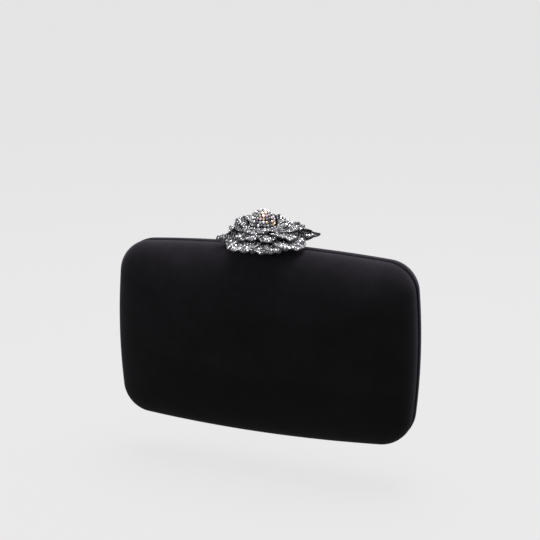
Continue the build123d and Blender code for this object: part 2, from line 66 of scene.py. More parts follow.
def quarter_outline(inset, long_count, corner_count, side_count):
    """(x, z, part) from the top centre to the right centre, about the middle; part is 1 in the corner."""
    half_width, half_height = HALF_WIDTH - inset, HALF_HEIGHT - inset
    corner_x, corner_z = half_width - SIDE_BULGE, half_height - LONG_BULGE
    long_radius = (corner_x**2 + LONG_BULGE**2) / (2 * LONG_BULGE)
    side_radius = (corner_z**2 + SIDE_BULGE**2) / (2 * SIDE_BULGE)
    radius = max(CORNER_RADIUS - CORNER_SHRINK * inset, CORNER_LEAST)
    a, b = Vector((0, half_height - long_radius)), Vector((half_width - side_radius, 0))
    reach_a, reach_b = long_radius - radius, side_radius - radius
    gap = (b - a).length
    along = (reach_a**2 - reach_b**2 + gap**2) / (2 * gap)
    across = math.sqrt(max(reach_a**2 - along**2, 0))
    direction = (b - a) / gap
    normal = Vector((-direction.y, direction.x))
    centre = max((a + direction * along + normal * s * across for s in (-1, 1)), key=lambda p: p.x + p.y)
    start = math.atan2(centre.y - a.y, centre.x - a.x)
    end = math.atan2(centre.y - b.y, centre.x - b.x)
    points = []
    for middle, size, low, high, count, part in (
        (a, long_radius, math.pi / 2, start, long_count, 0),
        (centre, radius, start, end, corner_count, 1),
        (b, side_radius, end, 0, side_count, 0),
    ):
        for i in range(count):
            angle = low + (high - low) * i / count
            points.append((middle.x + size * math.cos(angle), middle.y + size * math.sin(angle), part))
    return points + [(half_width, 0, 0)]


def outline(inset, counts=(30, 14, 18)):
    """(x, z, part) all round the outline, clockwise from the top centre."""
    quarter = quarter_outline(inset, *counts)
    back = quarter[::-1]
    right = quarter + [(x, -z, part) for x, z, part in back[1:]]
    left = [(-x, -z, part) for x, z, part in quarter[1:]] + [(-x, z, part) for x, z, part in back[1:-1]]
    return right + left


def profile(depth, steps=30):
    """(inset, y) from the rim to the crown, on the surface depth under the velvet's outside."""
    points = []
    for i in range(1, steps + 1):
        share = (i / steps) ** 2.2
        fill = 1 - (1 - share) ** FACE_POWER
        y = HALF_GAP + SHELL_DEPTH * fill ** (1 / WALL_POWER)
        rise = (1 - share) ** (FACE_POWER - 1) * fill ** (1 / WALL_POWER - 1)
        slope = SHELL_DEPTH / CROWN_INSET * FACE_POWER / WALL_POWER * rise
        lean = math.atan2(1, slope)
        points.append((share * CROWN_INSET + depth * math.cos(lean), y - depth * math.sin(lean)))
    return points


CENTRE_SHRINKS = (0.75, 0.5, 0.25)  # of the crown's own outline, for the rows on the flat middle


def make_object(name, vertices, faces, smooth=True):
    """A mesh object from vertices in millimetres."""
    mesh = bpy.data.meshes.new(name)
    mesh.from_pydata([Vector(v) * MM for v in vertices], [], faces)
    mesh.validate()
    if smooth:
        mesh.shade_smooth()
    made = bpy.data.objects.new(name, mesh)
    bpy.context.scene.collection.objects.link(made)
    return made


def bowl(name, rows, front, shift=None):
    """A closed sheet made of outline rows (inset, y[, shrink]), capped at the first and the last row."""
    vertices, faces = [], []
    count = 0
    for index, (inset, y, *shrink) in enumerate(rows):
        ring = outline(inset)
        count = len(ring)
        scale = shrink[0] if shrink else 1.0
        for x, z, part in ring:
            point = Vector((x * scale, y, MIDDLE_Z + z * scale))
            if shift:
                point += shift(index, point, inset, part)
            point.z = max(point.z, 0.0)
            if front:
                point.y = -point.y
            vertices.append(point)
    for i in range(len(rows) - 1):
        for j in range(count):
            k = (j + 1) % count
            quad = (i * count + j, i * count + k, (i + 1) * count + k, (i + 1) * count + j)
            faces.append(quad[::-1] if front else quad)
    first, last = list(range(count)), list(range(len(vertices) - count, len(vertices)))
    faces.append(first if front else first[::-1])
    faces.append(last[::-1] if front else last)
    return make_object(name, vertices, faces)


def prism(profile_points, x_low, x_high):
    """(vertices, faces) of a prism along X with the given (y, z) section."""
    count = len(profile_points)
    vertices = [(x, y, z) for x in (x_low, x_high) for y, z in profile_points]
    faces = [list(range(count))[::-1], list(range(count, 2 * count))]
    faces += [(i, (i + 1) % count, count + (i + 1) % count, count + i) for i in range(count)]
    return vertices, faces


def join_parts(parts):
    """(vertices, faces) of several (vertices, faces)."""
    vertices, faces = [], []
    for some_vertices, some_faces in parts:
        start = len(vertices)
        vertices += some_vertices
        faces += [[start + i for i in face] for face in some_faces]
    return vertices, faces


def face_outwards(target):
    """Turns a closed mesh's faces outwards."""
    shape = bmesh.new()
    shape.from_mesh(target.data)
    bmesh.ops.recalc_face_normals(shape, faces=shape.faces)
    if shape.calc_volume(signed=True) < 0:
        bmesh.ops.reverse_faces(shape, faces=shape.faces)
    shape.to_mesh(target.data)
    shape.free()


def cut(target, parts, front):
    """Takes the prisms away from the target."""
    face_outwards(target)
    vertices, faces = join_parts(parts)
    if front:
        vertices = [(x, -y, z) for x, y, z in vertices]
        faces = [face[::-1] for face in faces]
    cutter = make_object("cutter", vertices, faces, smooth=False)
    face_outwards(cutter)
    modifier = target.modifiers.new("cut", "BOOLEAN")
    modifier.operation, modifier.object, modifier.solver = "DIFFERENCE", cutter, "EXACT"
    modifier.use_self = True
    apply_modifiers(target)
    bpy.data.objects.remove(cutter, do_unlink=True)


def apply_modifiers(target):
    """Makes the modifiers' result the object's own mesh."""
    graph = bpy.context.evaluated_depsgraph_get()
    mesh = bpy.data.meshes.new_from_object(target.evaluated_get(graph), depsgraph=graph)
    target.modifiers.clear()
    old = target.data
    target.data = mesh
    bpy.data.meshes.remove(old)


def undulation(point, scale, seed):
    """Smooth noise from about -1 to 1 at a point in millimetres."""
    return noise.noise(point / scale + Vector((seed, seed * 1.7, 0)))


# ---------------------------------------------------------------- materials
def new_material(name, colour, roughness, metallic=0.0):
    """A principled material; returns it with its tree, shader and an object-space coordinate output."""
    material = bpy.data.materials.new(name)
    material.use_nodes = True
    tree = material.node_tree
    shader = tree.nodes["Principled BSDF"]
    shader.inputs["Base Color"].default_value = (*colour, 1)
    shader.inputs["Roughness"].default_value = roughness
    shader.inputs["Metallic"].default_value = metallic
    place = tree.nodes.new("ShaderNodeTexCoord").outputs["Object"]
    return material, tree, shader, place


def noise_node(tree, place, scale, detail=4.0, stretch=None):
    """The value of a noise texture at a scale in cycles per metre, stretched by a vector if one is given."""
    texture = tree.nodes.new("ShaderNodeTexNoise")
    texture.inputs["Scale"].default_value = scale
    texture.inputs["Detail"].default_value = detail
    if stretch:
        mapping = tree.nodes.new("ShaderNodeMapping")
        mapping.inputs["Scale"].default_value = stretch
        tree.links.new(place, mapping.inputs["Vector"])
        place = mapping.outputs["Vector"]
    tree.links.new(place, texture.inputs["Vector"])
    return texture.outputs["Fac"]


def ramp_node(tree, value, stops):
    """A colour ramp with stops (position, grey or colour)."""
    ramp = tree.nodes.new("ShaderNodeValToRGB")
    elements = ramp.color_ramp.elements
    while len(elements) < len(stops):
        elements.new(0.5)
    for element, (position, colour) in zip(elements, stops):
        element.position = position
        element.color = (*colour, 1) if isinstance(colour, tuple) else (colour, colour, colour, 1)
    tree.links.new(value, ramp.inputs["Fac"])
    return ramp.outputs["Color"]


def bump_node(tree, shader, heights, distance, strength=1.0):
    """Bump from several (value, weight) heights, in metres of distance."""
    total = None
    for value, weight in heights:
        scaled = tree.nodes.new("ShaderNodeMath")
        scaled.operation = "MULTIPLY"
        tree.links.new(value, scaled.inputs[0])
        scaled.inputs[1].default_value = weight
        if total is None:
            total = scaled.outputs[0]
            continue
        joined = tree.nodes.new("ShaderNodeMath")
        joined.operation = "ADD"
        tree.links.new(total, joined.inputs[0])
        tree.links.new(scaled.outputs[0], joined.inputs[1])
        total = joined.outputs[0]
    bump = tree.nodes.new("ShaderNodeBump")
    bump.inputs["Distance"].default_value = distance
    bump.inputs["Strength"].default_value = strength
    tree.links.new(total, bump.inputs["Height"])
    tree.links.new(bump.outputs["Normal"], shader.inputs["Normal"])


def multiplied(tree, first, second):
    """The product of two colours."""
    node = tree.nodes.new("ShaderNodeVectorMath")
    node.operation = "MULTIPLY"
    tree.links.new(first, node.inputs[0])
    tree.links.new(second, node.inputs[1])
    return node.outputs["Vector"]


def facing(tree, axis):
    """How far the surface faces along an axis of the object, as 0 to 1."""
    normal = tree.nodes.new("ShaderNodeTexCoord").outputs["Normal"]
    split = tree.nodes.new("ShaderNodeSeparateXYZ")
    tree.links.new(normal, split.inputs[0])
    share = tree.nodes.new("ShaderNodeMapRange")
    share.inputs["From Min"].default_value = -1.0
    tree.links.new(split.outputs[axis], share.inputs["Value"])
    return share.outputs["Result"]


def lint_mask(tree, place):
    """Sparse pale specks of lint near the rim: dots of a cell pattern, thinned out by a slow noise."""
    cells = tree.nodes.new("ShaderNodeTexVoronoi")
    cells.inputs["Scale"].default_value = 420
    tree.links.new(place, cells.inputs["Vector"])
    dots = ramp_node(tree, cells.outputs["Distance"], ((0.06, 1.0), (0.10, 0.0)))
    few = ramp_node(tree, noise_node(tree, place, 210, 2), ((0.55, 0.0), (0.60, 1.0)))
    split = tree.nodes.new("ShaderNodeSeparateXYZ")
    tree.links.new(place, split.inputs[0])
    depth = tree.nodes.new("ShaderNodeMath")
    depth.operation = "ABSOLUTE"
    tree.links.new(split.outputs["Y"], depth.inputs[0])
    rim = ramp_node(tree, depth.outputs[0], ((0.0035, 1.0), (0.0055, 0.0)))
    right = ramp_node(tree, split.outputs["X"], ((0.03, 0.0), (0.05, 1.0)))
    return multiplied(tree, multiplied(tree, dots, few), multiplied(tree, rim, right))


def velvet_material():
    """Black velvet: a short dark pile, brushed into lighter and darker patches; its colour is painted lighter
    and violet where it faces up, a painted highlight from the light above, and darker where it faces down,
    painted shade.
    """
    material, tree, shader, place = new_material("black_velvet", (0.004, 0.0037, 0.0046), 0.92)
    patches = noise_node(tree, place, 30, 5, (1, 1, 1.35))
    fine = noise_node(tree, place, 160, 3)
    # Painted light: the base colour follows which way the surface faces, lighter and violet facing up
    # (painted highlight), darker facing down (painted shade).
    painted_light_by_facing = ramp_node(tree, facing(tree, "Z"), (
        (0.0, (0.0018, 0.0018, 0.0022)), (0.46, (0.0028, 0.0027, 0.0033)), (0.60, (0.0052, 0.0048, 0.0060)),
        (0.80, (0.0125, 0.0108, 0.0142)), (1.0, (0.0150, 0.0128, 0.0172)),
    ))
    mottle = multiplied(tree, ramp_node(tree, patches, ((0.32, 0.55), (0.68, 1.0))),
                        ramp_node(tree, fine, ((0.35, 0.82), (0.65, 1.0))))
    # The random mottle times the painted highlight and painted shade above.
    pile_colour_with_painted_light = multiplied(tree, painted_light_by_facing, mottle)
    lint = tree.nodes.new("ShaderNodeMix")
    lint.data_type = "RGBA"
    tree.links.new(lint_mask(tree, place), lint.inputs["Factor"])
    tree.links.new(pile_colour_with_painted_light, lint.inputs["A"])
    lint.inputs["B"].default_value = (0.30, 0.29, 0.30, 1)
    tree.links.new(lint.outputs["Result"], shader.inputs["Base Color"])
    shader.inputs["Specular IOR Level"].default_value = 0.10
    sheen = ramp_node(tree, facing(tree, "Z"), ((0.35, 0.04), (0.75, 0.40)))
    tree.links.new(sheen, shader.inputs["Sheen Weight"])
    shader.inputs["Sheen Roughness"].default_value = 0.36
    shader.inputs["Sheen Tint"].default_value = (0.36, 0.31, 0.42, 1)
    pile = noise_node(tree, place, 2600, 3)
    tufts = noise_node(tree, place, 700, 4)
    bump_node(tree, shader, ((pile, 0.6), (tufts, 0.5), (patches, 1.5)), 0.00022, 0.7)
    return material


def satin_material():
    """Black satin: fine weave, a soft directional gloss and slight variation."""
    material, tree, shader, place = new_material("black_satin", (0.02, 0.019, 0.022), 0.36)
    slow = noise_node(tree, place, 60, 3)
    tone = ramp_node(tree, slow, ((0.3, (0.016, 0.015, 0.018)), (0.7, (0.032, 0.030, 0.036))))
    tree.links.new(tone, shader.inputs["Base Color"])
    gloss = ramp_node(tree, noise_node(tree, place, 240, 2), ((0.3, 0.30), (0.7, 0.46)))
    tree.links.new(gloss, shader.inputs["Roughness"])
    shader.inputs["Anisotropic"].default_value = 0.45
    shader.inputs["Sheen Weight"].default_value = 0.25
    shader.inputs["Sheen Tint"].default_value = (0.5, 0.48, 0.56, 1)
    weft = noise_node(tree, place, 900, 2, (0.25, 1, 4))
    warp = noise_node(tree, place, 900, 2, (4, 1, 0.25))
    bump_node(tree, shader, ((weft, 0.5), (warp, 0.5)), 0.00008, 0.6)
    return material


def metal_material(name, dark, light, rough, stretch=None, bump=0.00004):
    """Plated metal whose tone and polish vary slightly, with fine streaks or dimples."""
    material, tree, shader, place = new_material(name, light, sum(rough) / 2, 1.0)
    tone = ramp_node(tree, noise_node(tree, place, 120, 4), ((0.35, dark), (0.65, light)))
    tree.links.new(tone, shader.inputs["Base Color"])
    streaks = noise_node(tree, place, 900, 3, stretch)
    tree.links.new(ramp_node(tree, streaks, ((0.3, rough[0]), (0.7, rough[1]))), shader.inputs["Roughness"])
    bump_node(tree, shader, ((streaks, 1.0),), bump, 0.5)
    return material


def crystal_material(name, colour, metallic, roughness=0.05):
    """A foiled cut stone: it mirrors like a facet and its tone drifts a little from stone to stone."""
    material, tree, shader, place = new_material(name, colour, roughness, metallic)
    tone = noise_node(tree, place, 420, 1)
    darker = tuple(0.45 * c for c in colour)
    tree.links.new(ramp_node(tree, tone, ((0.36, darker), (0.56, colour))), shader.inputs["Base Color"])
    shader.inputs["Coat Weight"].default_value = 0.8
    shader.inputs["Coat Roughness"].default_value = 0.03
    shader.inputs["IOR"].default_value = 1.6
    return material


def plain_material(name, dark, light, roughness, scale=300, metallic=0.0):
    """A matt material with a fine grain, for what is hidden inside."""
    material, tree, shader, place = new_material(name, light, roughness, metallic)
    grain = noise_node(tree, place, scale, 4)
    tree.links.new(ramp_node(tree, grain, ((0.35, dark), (0.65, light))), shader.inputs["Base Color"])
    bump_node(tree, shader, ((grain, 1.0),), 0.0001, 0.4)
    return material


velvet = velvet_material()
satin = satin_material()
gunmetal = metal_material("gunmetal_petals", (0.030, 0.029, 0.032), (0.075, 0.073, 0.078), (0.16, 0.36))
rim_metal = metal_material(
    "gunmetal_frame", (0.13, 0.128, 0.132), (0.19, 0.187, 0.195), (0.22, 0.36), (0.2, 4, 4)
)
steel = metal_material("steel_fasteners", (0.34, 0.34, 0.35), (0.46, 0.46, 0.47), (0.24, 0.4))
foam = plain_material("padding_wadding", (0.30, 0.29, 0.28), (0.42, 0.41, 0.40), 0.95)
board = plain_material("moulded_board", (0.035, 0.035, 0.038), (0.06, 0.06, 0.064), 0.6)
CLEAR = [
    crystal_material("crystal_clear", (0.80, 0.80, 0.83), 0.9),
    crystal_material("crystal_grey", (0.36, 0.36, 0.39), 0.92),
    crystal_material("crystal_smoke", (0.10, 0.10, 0.11), 0.95),
]
IRIDESCENT = [
    crystal_material("crystal_rose", (0.90, 0.60, 0.68), 0.75),
    crystal_material("crystal_amber", (0.94, 0.66, 0.42), 0.75),
    crystal_material("crystal_straw", (0.90, 0.85, 0.60), 0.75),
    crystal_material("crystal_violet", (0.72, 0.64, 0.92), 0.75),
]


def paint(target, *materials):
    """Gives the object these material slots, in place of its own."""
    target.data.materials.clear()
    for material in materials:
        target.data.materials.append(material)


# ---------------------------------------------------------------- velvet covers
PAST_SEAM = -1.0  # how far the cutters reach over the seam
KEYHOLE_RADIUS, STRIP_Y, STRIP_TOP = 1.6, 0.95, 4.7  # round the knuckles, and the leaf's upright strip
KEYHOLE_START, KEYHOLE_STEPS = 0.9, 24
BLOCK_CUT_DEPTH = 6.0  # how far below the top the clasp blocks' holes start
def keyhole_prisms():
    """Room for the two hinges in one half's rim."""
    prisms = []
    for side in ("left", "right"):
        low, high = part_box(f"hinge_pin_{side}")
        x_low, x_high = low.x / MM - 0.2, high.x / MM + 0.2
        radius, strip_y, strip_top = KEYHOLE_RADIUS, STRIP_Y, STRIP_TOP
        start = math.asin(strip_y / radius)
        section = [(strip_y, strip_top), (PAST_SEAM, strip_top), (PAST_SEAM, HINGE_Z + 1.2)]
        for i in range(KEYHOLE_STEPS + 1):
            angle = -math.pi + KEYHOLE_START + i * (math.pi * 1.5 - KEYHOLE_START - start) / KEYHOLE_STEPS
            section.append((radius * math.cos(angle), HINGE_Z + radius * math.sin(angle)))
        prisms.append(prism(section[::-1], x_low, x_high))
    return prisms


def block_prism(node, bottom):
    """The hole in a half's layers for the clasp block of that CAD node, from a height up."""
    low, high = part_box(node)
    y_low, y_high = sorted((abs(low.y) / MM, abs(high.y) / MM))
    section = [(PAST_SEAM, bottom), (y_high, bottom), (y_high, TOP + 3), (PAST_SEAM, TOP + 3)]
    return prism(section, low.x / MM, high.x / MM)


def velvet_rows():
    """Rows of the closed velvet sheet: outer crown, wall, lip, turned-in edge, then back along the inside."""
    outside = profile(0, 34)
    crown = SHELL_DEPTH + HALF_GAP
    rows = [(CROWN_INSET, crown, shrink) for shrink in CENTRE_SHRINKS[::-1]]
    rows += [point for point in outside[::-1] if point[1] > HALF_GAP + LIP_RADIUS]
    for i in range(9):
        angle = math.pi / 2 * i / 8
        rows.append((LIP_RADIUS * (1 - math.cos(angle)), HALF_GAP + LIP_RADIUS * (1 - math.sin(angle))))
    rows += [(TURN_IN - 0.15, HALF_GAP), (TURN_IN, HALF_GAP + 0.15), (TURN_IN, RIM_Y), (1.0, RIM_Y)]
    inside = [point for point in profile(VELVET, 20) if point[1] > RIM_Y + 0.6]
    rows += inside
    rows += [(CROWN_INSET, crown - VELVET, shrink) for shrink in CENTRE_SHRINKS]
    return rows


def velvet_cover(half, block):
    """One half's velvet, softly uneven over its padding, with holes for the clasp block and the hinges."""
    front = half == "front"
    rows = velvet_rows()
    outer = len(CENTRE_SHRINKS) + len(profile(0, 34))
    seed = 3.1 if front else 8.4

    def shift(index, point, inset, part):
        """Slight hollows and swells of the padding, none at the rim."""
        if index >= outer:
            return Vector()
        amount = 0.16 * undulation(point, 19, seed) + 0.07 * undulation(point, 7, seed + 5)
        fade = min(1.0, max(0.0, (point.y - 4.0) / 8.0))
        return Vector((0, amount * fade, 0))

    cover = bowl(f"{half}_velvet", rows, front, shift)
    cut(cover, [block_prism(block, TOP - BLOCK_CUT_DEPTH)] + keyhole_prisms(), front)
    paint(cover, velvet)
    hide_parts(f"{half}_velvet_cover")
    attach(cover, half)
    return cover


front_velvet = velvet_cover("front", "clasp_strike")
rear_velvet = velvet_cover("rear", "clasp_base")


# ---------------------------------------------------------------- linings
def lining_rows():
    """Rows of the closed lining sheet: along the board to the band, and back along the visible side."""
    crown = SHELL_DEPTH + HALF_GAP
    hidden = [point for point in profile(BOARD, 22) if point[1] > 2.4]
    seen = [point for point in profile(LINING, 30) if point[1] > BAND_END_Y + 0.15]
    rows = [(CROWN_INSET, crown - BOARD, shrink) for shrink in CENTRE_SHRINKS[::-1]]
    rows += hidden[::-1]
    rows += [(BOARD, 2.2), (TUCK, 2.2), (TUCK, BAND_END_Y - 0.1)]
    start = len(rows)
    rows += seen
    rows += [(CROWN_INSET, crown - LINING, shrink) for shrink in CENTRE_SHRINKS]
    return rows, start


def lining(half, block):
    """One half's satin lining, pulled smooth over the flat and tucked into small pleats round the corners."""
    front = half == "front"
    rows, seen = lining_rows()
    seed = 1.3 if front else 6.2

    def shift(index, point, inset, part):
        """Pleats in the corners and slack ripples along the wall."""
        if index < seen:
            return Vector()
        wall = max(0.0, 1 - (inset - LINING) / 22)
        angle = math.atan2(point.z - MIDDLE_Z, point.x)
        pleat = 0.34 * part * wall * (0.5 + 0.5 * math.sin(angle * 130 + 2 * undulation(point, 9, seed)))
        slack = 0.22 * (0.5 + undulation(point, 13, seed)) * (0.35 + 0.65 * wall)
        inward = Vector((-point.x, 0, MIDDLE_Z - point.z)).normalized() * wall
        start_fade = min(1.0, (index - seen) / 4)
        return (inward + Vector((0, -1 + wall * 0.6, 0))) * (pleat + max(slack, 0)) * start_fade

    cloth = bowl(f"{half}_lining", rows, front, shift)
    cut(cloth, [block_prism(block, TOP - BLOCK_CUT_DEPTH)], front)
    paint(cloth, satin)
    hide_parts(f"{half}_satin_lining")
    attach(cloth, half)
    return cloth


front_lining = lining("front", "clasp_strike")
rear_lining = lining("rear", "clasp_base")


def wall_y(depth, x, z):
    """How far behind the seam the surface at a depth lies, at a place in the seam plane."""
    inset = min(HALF_WIDTH - abs(x) - SIDE_BULGE * (z - MIDDLE_Z) ** 2 / HALF_HEIGHT**2,
                HALF_HEIGHT - abs(z - MIDDLE_Z) - LONG_BULGE * x**2 / HALF_WIDTH**2)
    points = profile(depth, 60)
    for (low, low_y), (high, high_y) in zip(points, points[1:]):
        if low <= inset <= high:
            return low_y + (high_y - low_y) * (inset - low) / (high - low)
    return points[-1][1] if inset > points[-1][0] else points[0][1]


def grid_sheet(name, columns, rows, place, thickness):
    """A closed thin sheet from place(u, v) in millimetres with u, v from 0 to 1, thickened along +Y."""
    vertices = [place(i / columns, j / rows) for j in range(rows + 1) for i in range(columns + 1)]
    width = columns + 1
    faces = [(j * width + i, j * width + i + 1, (j + 1) * width + i + 1, (j + 1) * width + i)
             for j in range(rows) for i in range(columns)]
    sheet = make_object(name, vertices, faces)
    solid = sheet.modifiers.new("thickness", "SOLIDIFY")
    solid.thickness, solid.offset, solid.use_even_offset = thickness * MM, -1, True
    apply_modifiers(sheet)
    sheet.data.shade_smooth()
    return sheet


POCKET_HALF, POCKET_LOW, POCKET_HIGH = 62.0, 16.0, 70.0


def pocket_place(u, v):
    """The pocket's panel: sewn at the sides and the bottom, standing off a little at its top edge."""
    x = -POCKET_HALF + 2 * POCKET_HALF * u
    z = POCKET_LOW + (POCKET_HIGH - POCKET_LOW) * v
    edge = min(u, 1 - u) * 2 * POCKET_HALF
    free = min(1.0, edge / 7.0) * min(1.0, v * (POCKET_HIGH - POCKET_LOW) / 7.0)
    pucker = 0.18 * (1 - free) * math.sin(z * 1.9 + x * 1.9)
    ease = 0.25 * free * undulation(Vector((x, 0, z)), 15, 4.4)
    depth = 4.9 + 0.75 * free + ease + pucker
    return (x, wall_y(depth, x, z), z)


pocket = grid_sheet("lining_pocket_panel", 96, 48, pocket_place, 0.3)
paint(pocket, satin)
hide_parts("lining_pocket")
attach(pocket, "rear")


def tube(path, radius, sides=8, closed=False):
    """(vertices, faces) of a round tube along points in millimetres, with flat ends."""
    vertices, faces = [], []
    count = len(path)
    normal = None
    for i, point in enumerate(path):
        before = path[i - 1] if i or closed else path[0]
        after = path[(i + 1) % count] if i < count - 1 or closed else path[-1]
        along = (Vector(after) - Vector(before)).normalized()
        if normal is None:
            normal = along.orthogonal().normalized()
        normal = (normal - along * normal.dot(along)).normalized()
        side = along.cross(normal)
        size = radius(i / (count - 1)) if callable(radius) else radius
        for k in range(sides):
            angle = 2 * math.pi * k / sides
            vertices.append(Vector(point) + normal * size * math.cos(angle) + side * size * math.sin(angle))
    spans = count if closed else count - 1
    for i in range(spans):
        a, b = i * sides, (i + 1) % count * sides
        faces += [(a + k, a + (k + 1) % sides, b + (k + 1) % sides, b + k) for k in range(sides)]
    if not closed:
        faces += [list(range(sides))[::-1], list(range((count - 1) * sides, count * sides))]
    return vertices, faces


RIBBON_DEPTH, RIBBON_Z = 5.7, POCKET_HIGH + 0.9


def binding():
    """The folded ribbon along the pocket's top edge."""
    path = []
    for i in range(97):
        x = -POCKET_HALF + 2 * POCKET_HALF * i / 96
        y = wall_y(RIBBON_DEPTH, x, RIBBON_Z) + 0.1 * math.sin(x * 0.7)
        path.append((x, y, RIBBON_Z + 0.08 * math.sin(x * 0.23)))
    ribbon = make_object("pocket_edge_ribbon", *tube(path, 0.95, 12))
    for vertex in ribbon.data.vertices:
        middle = wall_y(RIBBON_DEPTH, vertex.co.x / MM, RIBBON_Z) * MM
        vertex.co.y = middle + (vertex.co.y - middle) * 0.62
    paint(ribbon, satin)
    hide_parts("pocket_binding")
    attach(ribbon, "rear")


binding()


# ---------------------------------------------------------------- flower
VIEW_TURN = 21.7  # degrees from +X of the flower's right-hand direction, which petals are laid out from
stone_draw = random.Random(11)


class Petal:
    """A ruffled petal: (u, v) to a point, u from root to edge and v from -1 to 1 across."""

    def __init__(
        self, turn, length, width, root, heights,
        tip=0.0, cup=0.0, ruffle=0.8, waves=3.0, seed=0.0, centre=(FLOWER_X, 0.0), lean=0.0,
    ):
        self.angle = math.radians(VIEW_TURN + turn)
        self.length, self.width, self.root = length, width, root
        self.heights, self.tip, self.cup = heights, tip, cup
        self.ruffle, self.waves, self.seed = ruffle, waves, seed
        self.centre, self.lean = centre, lean

    def point(self, u, v):
        start, middle, end = self.heights
        body = math.sqrt(max(0.0, 1 - ((u - 0.56) / 0.66) ** 2))
        across = v * self.width * body * (1 - self.tip * max(0.0, u - 0.45) ** 1.5 * 2.1)
        round_off = 1 - (0.20 + 0.10 * self.tip) * abs(v) ** 2.4 * u**2
        notch = 1 + 0.022 * math.sin(self.waves * 2.6 * v + self.seed) * u**3
        along = self.root + (self.length - self.root) * u * round_off * notch
        along += 2.2 * self.tip * math.exp(-((v / 0.34) ** 2)) * u**4
        rise = start * (1 - u) * (1 - 2 * u) + middle * 4 * u * (1 - u) + end * u * (2 * u - 1)
        wave = self.ruffle * u**2 * math.sin(self.waves * math.pi * v + self.seed) * (0.35 + 0.65 * abs(v))
        height = rise + self.cup * v * v * u + wave + 0.25 * noise.noise(Vector((u * 4, v * 3, self.seed)))
        height += self.lean * v * u
        c, s = math.cos(self.angle), math.sin(self.angle)
        x, y = self.centre
        return Vector((x + along * c - across * s, y + along * s + across * c, height))

    def frame_at(self, u, v):
        """The point there and its unit normal, pointing up."""
        step = 0.01
        here = self.point(u, v)
        reach = 2 * step if u + step <= 1 else step
        du = (self.point(min(u + step, 1), v) - self.point(u - step, v)) / reach
        dv = (self.point(u, v + step) - self.point(u, v - step)) / (2 * step)
        normal = du.cross(dv).normalized()
        return here, normal if normal.z > 0 else -normal


def petal_body(petal, columns=26, rows=16, thickness=0.7):
    """(vertices, faces) of a petal as a closed plate with a rounded bead along its free edge."""
    top = [[petal.point(i / rows, -1 + 2 * j / columns) for j in range(columns + 1)] for i in range(rows + 1)]
    low = [[point - Vector((0, 0, thickness)) for point in line] for line in top]
    width = columns + 1
    vertices = [p for line in top for p in line] + [p for line in low for p in line]
    base = len(vertices) // 2
    faces = []
    for i in range(rows):
        for j in range(columns):
            a, b, c, d = i * width + j, i * width + j + 1, (i + 1) * width + j + 1, (i + 1) * width + j
            faces += [(a, d, c, b), (base + a, base + b, base + c, base + d)]
    edge = [i * width for i in range(rows + 1)]
    edge += [rows * width + j for j in range(1, width)]
    edge += [i * width + columns for i in range(rows - 1, -1, -1)]
    edge += [j for j in range(columns - 1, 0, -1)]
    for a, b in zip(edge, edge[1:] + edge[:1]):
        faces.append((a, b, base + b, base + a))
    rim = [petal.point(i / rows, -1) for i in range(3, rows + 1)]
    rim += [petal.point(1, -1 + 2 * j / columns) for j in range(1, width)]
    rim += [petal.point(i / rows, 1) for i in range(rows - 1, 2, -1)]
    drop = Vector((0, 0, thickness * 0.35))
    bead = tube([p - drop for p in rim], 0.42, 7)
    return join_parts([(vertices, faces), bead])


def stone(point, normal, radius, spin):
    """(vertices, faces) of a cut stone: an eight-sided crown with a flat table."""
    across = normal.orthogonal().normalized()
    other = normal.cross(across)
    vertices = []
    for size, lift, turn in ((1.0, -0.15, 0.0), (0.96, 0.12, 0.0), (0.56, 0.52, 0.5)):
        for k in range(8):
            angle = spin + math.pi / 4 * (k + turn)
            ray = across * math.cos(angle) + other * math.sin(angle)
            vertices.append(point + (ray * size + normal * lift) * radius)
    faces = [(k, (k + 1) % 8, 8 + (k + 1) % 8, 8 + k) for k in range(8)]
    for k in range(8):
        faces.append((8 + k, 8 + (k + 1) % 8, 16 + k))
        faces.append((16 + k, 8 + (k + 1) % 8, 16 + (k + 1) % 8))
    faces.append(tuple(range(16, 24)))
    return vertices, faces


def tilted(normal, amount):
    """The normal, tipped a little at random."""
    nudge = Vector([stone_draw.uniform(-amount, amount) for _ in range(3)])
    return (normal + nudge).normalized()


STONE_PITCH, STONE_RADIUS = 1.42, 0.64
STONE_KINDS = (0.34, 0.36, 0.30)  # shares of clear, grey and smoke stones on the petals


def pave(petal, u_from):
    """Stones in rows over a petal's upper side from u_from to its edge, as (vertices, faces, kind)."""
    stones = []
    length = petal.length - petal.root
    rows = max(2, int(length * (1 - u_from) / (STONE_PITCH * 0.9)))
    for row in range(rows):
        u = 1 - (row + 0.55) * (1 - u_from) / rows
        span = (petal.point(u, 1) - petal.point(u, -1)).length
        count = max(1, int(span / STONE_PITCH * 1.06))
        for k in range(count):
            v = -1 + 2 * (k + 0.5 + 0.25 * (row % 2)) / (count + 0.25)
            if abs(v) > 1 - 0.6 / max(span / 2, 0.1):
                continue
            here, normal = petal.frame_at(u, v)
            size = STONE_RADIUS * stone_draw.uniform(0.88, 1.1)
            kind = stone_draw.choices((0, 1, 2), STONE_KINDS)[0]
            facet = stone(here + normal * 0.1, tilted(normal, 0.16), size, stone_draw.uniform(0, 1))
            stones.append((*facet, kind))
    return stones


def stones_object(name, stones, materials):
    """One piece of all these stones, each face with its stone's material."""
    vertices, faces = join_parts([(v, f) for v, f, _ in stones])
    kinds = [kind for _, f, kind in stones for _ in f]
    made = make_object(name, vertices, faces, smooth=False)
    paint(made, *materials)
    made.data.polygons.foreach_set("material_index", kinds)
    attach(made, "clasp")
    return made


def layer(name, node, petals, u_from):
    """A ring of petals in plated metal, which stands for a CAD node, and the stones set in them."""
    plate = make_object(f"{name}_metal", *join_parts([petal_body(p) for p in petals]))
    paint(plate, gunmetal)
    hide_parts(node)
    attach(plate, "clasp")
    stones = [s for p in petals for s in pave(p, u_from)]
    stones_object(f"{name}_crystals", stones, CLEAR)


